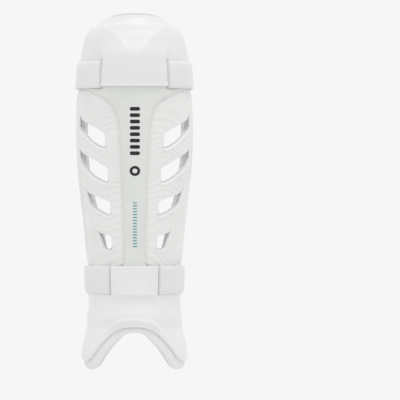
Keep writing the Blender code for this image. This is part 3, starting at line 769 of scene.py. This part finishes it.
def foam_outer(u, z, near, edge):
    """The foam's face: pockets for the pads, thicker ends, and a seam line along the top edge."""
    pocket = 0.0 * u
    for at, middle, width, length in PADS:
        arc = ARC if at == 0 else 60.0
        across = np.abs(u - at) * arc - width / 2 - 1.0
        along = np.abs(z - middle) - length / 2 - 1.0
        pocket = np.maximum(pocket, 1 - ease(np.maximum(across, along) / 2.0))
    ends = ease((50 - z) / 10) + ease((z - 287) / 10)
    seam = 1.0 * np.exp(-((near - 3.7) / 0.9) ** 2) * ease((z - LINER_TOP) / 6)
    return FOAM_OUTER + 0.6 * ends - 2.7 * pocket - seam - round_edge(near, 1.1) * 0.9


def make_foam():
    outline = liner_outline()
    points, faces = sheet_mesh([outline] + vent_loops(-FOAM_OUTER, *VENT_FOAM_OUTER),
                               [outline] + vent_loops(-FOAM_INNER, *VENT_FOAM_INNER),
                               foam_outer, plain(FOAM_INNER, 1.6), steps=(1.7, 2.6),
                               rings=(0.25, 0.6, 1.1, 1.9, 2.7, 3.3, 3.9, 4.6), shape=faceted)
    made = new_object("foam_liner", points, faces, FOAM, "guard", ["liner_foam"])
    sharpen(made, 60)


def channel_share(u, z):
    """1 on the welded lines of the facing and 0 away from them."""
    share = 0.0 * u
    for at in CHANNELS:
        share = np.maximum(share, np.exp(-((np.abs(u) - at) * 70 / 1.6) ** 2))
    return share


PUFF_PRESSURE = 0.6
PUFF_MOST = 1.3
PUFF_FRAMES = 20


def simulated_puff():
    """How far a cloth facing stands off the foam under light pressure, as a function of u and z.

    The cloth is held at its edges, round the vents and along the welded lines.
    """
    loops = [liner_outline(FACING_INSET)] + vent_loops(-FACING_INNER, *VENT_FACING)
    made = triangulated(loops, spacing=3.0, rings=(1.6,))
    u, z = made["flat"][:, 0] / ARC, made["flat"][:, 1]
    start = off_leg(u, z, FACING_INNER + 0.0 * u)
    mesh = bpy.data.meshes.new("puff")
    mesh.from_pydata((start * MM).tolist(), [], made["faces"].tolist())
    mesh.update()
    cloth = bpy.data.objects.new("puff", mesh)
    bpy.context.scene.collection.objects.link(cloth)
    held = (made["near"] < 1.0) | (channel_share(u, z) > 0.6)
    group = cloth.vertex_groups.new(name="held")
    group.add(np.nonzero(held)[0].tolist(), 1.0, "REPLACE")
    modifier = cloth.modifiers.new("puff", "CLOTH")
    settings = modifier.settings
    settings.quality = 6
    settings.mass = 0.15
    settings.tension_stiffness = 8
    settings.compression_stiffness = 8
    settings.shear_stiffness = 3
    settings.bending_stiffness = 0.3
    settings.shrink_min = -0.03
    settings.use_pressure = True
    settings.uniform_pressure_force = -PUFF_PRESSURE
    settings.vertex_group_mass = "held"
    settings.effector_weights.gravity = 0.0
    modifier.point_cache.frame_start = 1
    modifier.point_cache.frame_end = PUFF_FRAMES
    for number in range(1, PUFF_FRAMES + 1):
        bpy.context.scene.frame_set(number)
    evaluated = cloth.evaluated_get(bpy.context.evaluated_depsgraph_get())
    end = np.empty(len(u) * 3)
    evaluated.data.vertices.foreach_get("co", end)
    moved = end.reshape(-1, 3) / MM - start
    bpy.context.scene.frame_set(1)
    bpy.data.objects.remove(cloth, do_unlink=True)
    lift = np.clip(-np.sum(moved * leg_normal(u, z), axis=1), 0, PUFF_MOST)
    tree, _ = edge_tree([made["flat"]])

    def puff(at_u, at_z):
        """The lift at each place, from the five nearest points of the cloth."""
        values = np.empty(len(at_u))
        for k, (a, b) in enumerate(zip(at_u * ARC, at_z)):
            found = tree.find_n((a, b, 0), 5)
            weights = np.array([1 / (f[2] ** 2 + 0.3) for f in found])
            values[k] = float(np.sum(weights * lift[[f[1] for f in found]]) / np.sum(weights))
        return values

    return puff


def make_facing():
    puff = simulated_puff()

    def facing_inner(u, z, near, edge):
        lift = puff(u, z) if puff else 0.9 * (1 - channel_share(u, z)) * ease(near / 6)
        return FACING_INNER - lift * (1 - ease((z - LINER_TOP) / 12)) + round_edge(near, 0.5)

    outline = liner_outline(FACING_INSET)
    points, faces = sheet_mesh([outline] + vent_loops(-FACING_OUTER, *VENT_FACING),
                               [outline] + vent_loops(-FACING_INNER, *VENT_FACING),
                               plain(FACING_OUTER), facing_inner, steps=(4.0, 1.5),
                               rings=(0.3, 0.7), shape=faceted)
    made = new_object("liner_face", points, faces, FACING, "guard", ["liner_facing"])
    sharpen(made, 70)


# Straps

def strap_plan(strap, q, z):
    """A strap's path at q, which is u on the leg. Past either rear edge it crosses the open back."""
    on_leg = leg(np.clip(q, -REAR_U, REAR_U), z)
    edge = leg(REAR_U + 0.0 * q, z)
    tangent = unit(edge - leg(REAR_U - 0.01 + 0.0 * q, z)) * STRAPS[strap]["reach"]
    b = np.where(q > 0, q - REAR_U, q + REAR_U + 1)
    x0, x1 = edge[:, 0], edge[:, 0] + tangent[:, 0]
    y0, y1 = edge[:, 1], edge[:, 1] + tangent[:, 1]
    x = x0 * (1 - b) ** 3 + 3 * x1 * (1 - b) ** 2 * b - 3 * x1 * (1 - b) * b ** 2 - x0 * b ** 3
    y = y0 * ((1 - b) ** 3 + b ** 3) + 3 * y1 * ((1 - b) ** 2 * b + (1 - b) * b ** 2)
    back = np.stack([x, y, z], -1)
    return np.where((np.abs(q) <= REAR_U)[:, None], on_leg, back)


def strap_point(strap, q, z, offset):
    q, z, offset = np.broadcast_arrays(np.asarray(q, float), z, offset)
    dq = 0.004
    along = strap_plan(strap, q + dq, z) - strap_plan(strap, q - dq, z)
    out = unit(np.stack([along[:, 1], -along[:, 0], 0 * z], -1))
    return strap_plan(strap, q, z) + out * offset[:, None]


def front_inner(strap, q):
    """How far off the leg a strap's inner face is: behind the bridge, then out through its slot."""
    edge, end = slot_ends(strap)
    share = (np.abs(q) - edge) / (end - edge)
    crest = 0.35 * np.exp(-((share - 0.66) / 0.22) ** 2)
    return mix(GAP, OVER_COVER, ease((share - 0.08) / 0.36)) + crest


def tail_inner(q):
    """How far off its path the tail's inner face is: it steps out to pass over the fixed webbing."""
    out = STRAP_THICKNESS + 2 * PATCH_THICKNESS + 4 * GAP
    return OVER_COVER + out * ease((BACK_PEEL + 0.22 - (q - REAR_U)) / 0.2)


def fold_inner(q):
    return np.where(q > 0, tail_inner(q), OVER_COVER)


def band_section(width, thickness, ribs, depth, radius):
    """A band's cross-section as (across, offset) points, ribbed on both faces, with soft edges."""
    half = width / 2
    across = np.linspace(-half + radius, half - radius, ribs * 4 + 1)
    shape = depth * (0.5 - 0.5 * np.cos(np.linspace(0, ribs * 2 * math.pi, ribs * 4 + 1)))
    selvedge = 0.10 * np.exp(-((half - np.abs(across) - 3.4) / 0.5) ** 2)
    soft = 0.5 * thickness
    thinner = selvedge + soft * np.clip(1 - (half - radius - np.abs(across)) / 2.6, 0, 1) ** 2
    outer = [(a, thickness - d - s) for a, d, s in zip(across, shape, thinner)]
    inner = [(a, d) for a, d in zip(across[::-2], shape[::-2])]
    right, left = [], []
    for turn in np.linspace(0, math.pi, 9)[1:-1]:
        reach, height = radius * math.sin(turn), (thickness - soft) / 2 * (1 + math.cos(turn))
        right.append((half - radius + reach, height))
        left.append((-half + radius - reach, thickness - soft - height))
    return np.array(outer + right + inner + left)


def band(name, strap, stations, inner, section, look, body, replaces=(), across_at=None):
    """A run of strap: its section swept along its stations, closed at both ends."""
    middle = STRAPS[strap]["middle"]
    stations = np.asarray(stations, float)
    count = len(section)
    q = np.repeat(stations, count)
    across = np.tile(section[:, 0], len(stations))
    height = np.tile(section[:, 1], len(stations))
    if across_at is not None:
        across, height = across_at(q, across, height)
    points = strap_point(strap, q, middle + across, inner(q) + height)
    faces = []
    for i in range(len(stations) - 1):
        for k in range(count):
            n = (k + 1) % count
            faces.append((i * count + k, (i + 1) * count + k, (i + 1) * count + n, i * count + n))
    faces.append(tuple(range(count)))
    last = (len(stations) - 1) * count
    faces.append(tuple(last + k for k in reversed(range(count))))
    if stations[0] > stations[-1]:
        faces = [face[::-1] for face in faces]
    made = new_object(name, points, faces, look, body, replaces)
    sharpen(made, 60)
    return made


def places(start, end, step):
    count = max(int(abs(end - start) / step), 2)
    return np.linspace(start, end, count + 1)


def bent_at(obj, strap, q, offset):
    """Bakes a strap's transform into its mesh; the fold at q is found, but the strap is not bent there.
    """
    middle = np.array([STRAPS[strap]["middle"]])
    here = strap_point(strap, np.array([q]), middle, offset)[0]
    ahead = strap_plan(strap, np.array([q - 0.02]), middle)[0]
    behind = strap_plan(strap, np.array([q + 0.02]), middle)[0]
    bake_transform(obj)


def thread_row(points, normals, length, gap, width):
    """Short closed stitches along a path: points and faces of small ovals lying on a surface."""
    steps = np.concatenate([[0], np.cumsum(np.linalg.norm(np.diff(points, axis=0), axis=1))])
    made, faces = [], []
    at = gap
    while at + length < steps[-1]:
        ends = []
        for where in (at, at + length / 2, at + length):
            ends.append(np.array([np.interp(where, steps, points[:, k]) for k in range(3)]))
        normal = unit(np.array([np.interp(at + length / 2, steps, normals[:, k]) for k in range(3)]))
        along = unit(ends[2] - ends[0])
        side = np.cross(normal, along)
        start = len(made)
        rings = [(-0.5, 0.25), (-0.32, 0.85), (0.0, 1.0), (0.32, 0.85), (0.5, 0.25)]
        for share, size in rings:
            for k in range(6):
                turn = 2 * math.pi * k / 6
                made.append(ends[1] + along * share * length
                            + (side * math.cos(turn) + normal * math.sin(turn)) * size * width / 2)
        for r in range(len(rings) - 1):
            for k in range(6):
                n = (k + 1) % 6
                faces.append((start + r * 6 + k, start + r * 6 + n, start + (r + 1) * 6 + n,
                              start + (r + 1) * 6 + k))
        faces.append(tuple(start + k for k in reversed(range(6))))
        faces.append(tuple(start + (len(rings) - 1) * 6 + k for k in range(6)))
        at += length + gap
    return made, faces


def make_strap(strap):
    left = REAR_U + 1.0
    fixed_end = REAR_U + BACK_FIXED_END
    peel = REAR_U + BACK_PEEL
    tip = REAR_U + BACK_TIP
    tab_end = REAR_U + BACK_TAB
    guard_end, tail_start = -REAR_U + 0.10, left - 0.075
    section = band_section(STRAP_WIDTH, STRAP_THICKNESS, ribs=18, depth=0.10, radius=0.8)
    edge, end = slot_ends(strap)

    wide, narrow, past = 0.016, 0.007, end + 0.02
    front = np.concatenate([places(guard_end, -past, wide)[:-1], places(-past, -edge, narrow)[:-1],
                            places(-edge, edge, wide)[:-1], places(edge, past, narrow)[:-1],
                            places(past, REAR_U, wide)[:-1], places(REAR_U, fixed_end, 0.008)])
    band(strap + "_webbing", strap, front, lambda q: front_inner(strap, q), section, WEBBING, "guard",
         [strap + "_strap"])

    fold_q = np.concatenate([places(guard_end, -REAR_U, 0.008)[:-1],
                             -REAR_U + places(0.0, tail_start - left, 0.006)])
    fold_q = np.where(fold_q < -REAR_U, fold_q + 2 * REAR_U + 1.0, fold_q)
    fold = band(strap + "_webbing_fold", strap, fold_q, fold_inner, section, WEBBING, None)
    bent_at(fold, strap, left - 1e-4, OVER_COVER + STRAP_THICKNESS)

    tail_q = places(tail_start, tip, 0.007)
    tail = band(strap + "_webbing_tail", strap, tail_q, tail_inner, section, WEBBING, None,
                [strap + "_strap_tail", strap + "_strap_end"])
    half_in = float(tail_inner(np.array(peel))) + STRAP_THICKNESS / 2
    bent_at(tail, strap, peel, half_in)

    rng = np.random.default_rng(3)

    def pile(q, across, height):
        lifted = height + (height > PATCH_THICKNESS * 0.4) * rng.uniform(-0.25, 0.0, len(q))
        return across + rng.uniform(-0.08, 0.08, len(q)), lifted

    fine = band_section(STRAP_WIDTH - 2.8, PATCH_THICKNESS, ribs=14, depth=0.05, radius=0.4)
    loop_q = places(REAR_U + 0.10, fixed_end - 0.01, 0.005)
    band(strap + "_pile", strap, loop_q, lambda q: OVER_COVER + STRAP_THICKNESS + GAP + 0 * q, fine, LOOP,
         "guard", [strap + "_loop_patch"], pile)

    def hooks(q, across, height):
        low = height < PATCH_THICKNESS * 0.6
        bumps = 0.5 + 0.5 * np.sign(np.sin(q * 900) * np.sin(across * 5.2))
        return across, height + low * 0.35 * (1 - bumps) * (np.abs(across) < STRAP_WIDTH / 2 - 2.6)

    hook_q = places(tip + 0.01, fixed_end - 0.01, 0.0035)
    band(strap + "_hooks", strap, hook_q, lambda q: tail_inner(q) - GAP - PATCH_THICKNESS, fine, HOOK,
         strap + "_end", [strap + "_hook_patch"], hooks)

    tab_start = tip - 0.006
    half_thick = TAB_THICKNESS / 2

    def grip(q, across, height):
        share = (tab_start - q) / (tab_start - tab_end)
        ribs = 0.32 * (0.5 + 0.5 * np.cos(share * 2 * math.pi * 6))
        ribs = ribs * ease(share * 6) * ease((1 - share) * 6)
        shape = np.where(height > half_thick, -ribs, ribs)
        taper = 1 - 0.16 * ease((share - 0.55) / 0.45) ** 2
        end_round = 1 - 0.35 * ease((share - 0.9) / 0.1) ** 2
        flat = (height - half_thick) * (1 - 0.45 * ease((share - 0.85) / 0.15)) + half_thick
        return across * taper * end_round, flat + shape * (np.abs(across) < STRAP_WIDTH / 2 - 3)

    def tab_inner(q):
        return tail_inner(q) + (STRAP_THICKNESS - TAB_THICKNESS) / 2

    tab_section = band_section(STRAP_WIDTH - 2.0, TAB_THICKNESS, ribs=10, depth=0.0, radius=0.9)
    band(strap + "_grip_tab", strap, places(tab_start, tab_end, 0.0022), tab_inner, tab_section, TAB,
         strap + "_end", [strap + "_pull_tab"], grip)
    make_stitches(strap, tip, fixed_end)


STITCH_LENGTH = 2.0
STITCH_GAP = 0.6
STITCH_WIDTH = 0.42


def make_stitches(strap, tip, fixed_end):
    """Lines of stitches that hold the hook patch on, in the outer face of the strap's end."""
    middle = STRAPS[strap]["middle"]
    half = STRAP_WIDTH / 2 - 3.4
    q0, q1 = tip + 0.022, fixed_end - 0.022
    runs = [[(q0, half), (q1, half)], [(q0, -half), (q1, -half)], [(q0, -half), (q0, half)],
            [(q1, -half), (q1, half)]]
    points, faces = [], []
    for (qa, za), (qb, zb) in runs:
        share = np.linspace(0, 1, 60)
        q, z = mix(qa, qb, share), middle + mix(za, zb, share)
        on = strap_point(strap, q, z, tail_inner(q) + STRAP_THICKNESS - 0.02)
        normals = unit(strap_point(strap, q, z, tail_inner(q) + 3.0) - on)
        made, made_faces = thread_row(on, normals, STITCH_LENGTH, STITCH_GAP, STITCH_WIDTH)
        faces += [tuple(len(points) + k for k in face) for face in made_faces]
        points += made
    new_object(strap + "_stitches", np.array(points), faces, THREAD, strap + "_end")


# Printed marks on the rib: plain bars, a ring and dashes

MARKS_X = 0.4
PRINT_TOP = 2.52            # the rib's face is at 2.4
PRINT_BACK = 2.36


def print_on_rib(name, loops, look):
    points, faces = sheet_mesh(loops, loops, plain(PRINT_TOP), plain(PRINT_BACK), (1.5, 1.5), (0.3,))
    new_object(name, points, faces, look, "guard")


def along_arc(x, z):
    return np.stack([u_at(x, z) * ARC, z], -1)


def bar(x, z, width, height, radius):
    corners = [(x - width / 2, z - height / 2), (x + width / 2, z - height / 2),
               (x + width / 2, z + height / 2), (x - width / 2, z + height / 2)]
    return along_arc(*rounded(corners, radius, step=0.35).T)


def circle(x, z, radius):
    turn = np.linspace(0, 2 * math.pi, 40, endpoint=False)
    return along_arc(x + radius * np.cos(turn), z + radius * np.sin(turn))


def make_marks():
    for i in range(8):
        outline = bar(MARKS_X, 194.4 + i * 5.66, width=8.6, height=3.3, radius=1.5)
        print_on_rib(f"rib_bar_{i + 1}", [outline], DARK_PRINT)
    ring = [circle(MARKS_X, 178.6, radius) for radius in (4.5, 2.2)]
    print_on_rib("rib_ring", ring, DARK_PRINT)
    for i in range(16):
        outline = bar(MARKS_X, 111.0 + i * 2.6, width=3.6, height=1.0, radius=0.45)
        print_on_rib(f"rib_dash_{i + 1:02d}", [outline], TEAL_PRINT)


# Stage, light and camera

BACKGROUND = (0.923, 0.923, 0.923, 1)      # floor and world alike
SENSOR = 36.0
CAMERA_AWAY = 4.0
CAMERA_HEIGHT = 0.1525
CAMERA_ASIDE = 0.059        # how far beside the guard the camera looks
GUARD_FRONT = 0.03
FIELD = 0.360               # width of the view at the guard's front


def make_stage():
    """A plain pale floor that gives its own light and so holds no shadow."""
    mesh = bpy.data.meshes.new("floor")
    bpy_floor = bpy.data.objects.new("floor", mesh)
    size, top = 12.0, -0.35
    mesh.from_pydata([(-size, -size, top), (size, -size, top), (size, size, top), (-size, size, top)], [],
                     [(0, 1, 2, 3)])
    bpy.context.scene.collection.objects.link(bpy_floor)
    pale = bpy.data.materials.new("pale_floor")
    pale.use_nodes = True
    set_inputs(pale.node_tree.nodes["Principled BSDF"],
               {"Base Color": (0, 0, 0, 1), "Specular IOR Level": 0.0, "Roughness": 1.0,
                "Emission Color": BACKGROUND, "Emission Strength": 1.0})
    mesh.materials.append(pale)


def make_light(name, place, target, size, watts):
    data = bpy.data.lights.new(name, "AREA")
    data.size = size
    data.energy = watts
    lamp = bpy.data.objects.new(name, data)
    lamp.location = place
    lamp.rotation_euler = (Vector(target) - Vector(place)).to_track_quat("-Z", "Y").to_euler()
    bpy.context.scene.collection.objects.link(lamp)


def make_camera():
    """Straight in front of the guard and turned a little, so that the guard is left of the middle."""
    data = bpy.data.cameras.new("camera")
    data.sensor_width = SENSOR
    data.lens = SENSOR * (CAMERA_AWAY - GUARD_FRONT) / FIELD
    data.clip_end = 50
    camera = bpy.data.objects.new("camera", data)
    camera.location = (0, -CAMERA_AWAY, CAMERA_HEIGHT)
    camera.rotation_euler = (math.pi / 2, 0, -math.atan(CAMERA_ASIDE / (CAMERA_AWAY - GUARD_FRONT)))
    bpy.context.scene.collection.objects.link(camera)
    bpy.context.scene.camera = camera


make_camera()
bpy.context.scene.view_settings.view_transform = "Standard"
world = bpy.data.worlds.new("studio")
bpy.context.scene.world = world
world.use_nodes = True
set_inputs(world.node_tree.nodes["Background"], {"Color": BACKGROUND, "Strength": 1.0})
make_stage()
make_light("key", place=(0.16, -0.5, 2.25), target=(0, 0, 0.17), size=1.2, watts=12.0)

make_plate()
make_spine()
make_knee_cap()
make_ankle_guard()
make_rivets()
make_foam()
make_facing()
for name in STRAPS:
    make_strap(name)
make_marks()
for name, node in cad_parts.items():
    if name.startswith(("liner_hook", "liner_loop")):
        node.data.materials.clear()
        node.data.materials.append(HOOK if "hook" in name else LOOP)
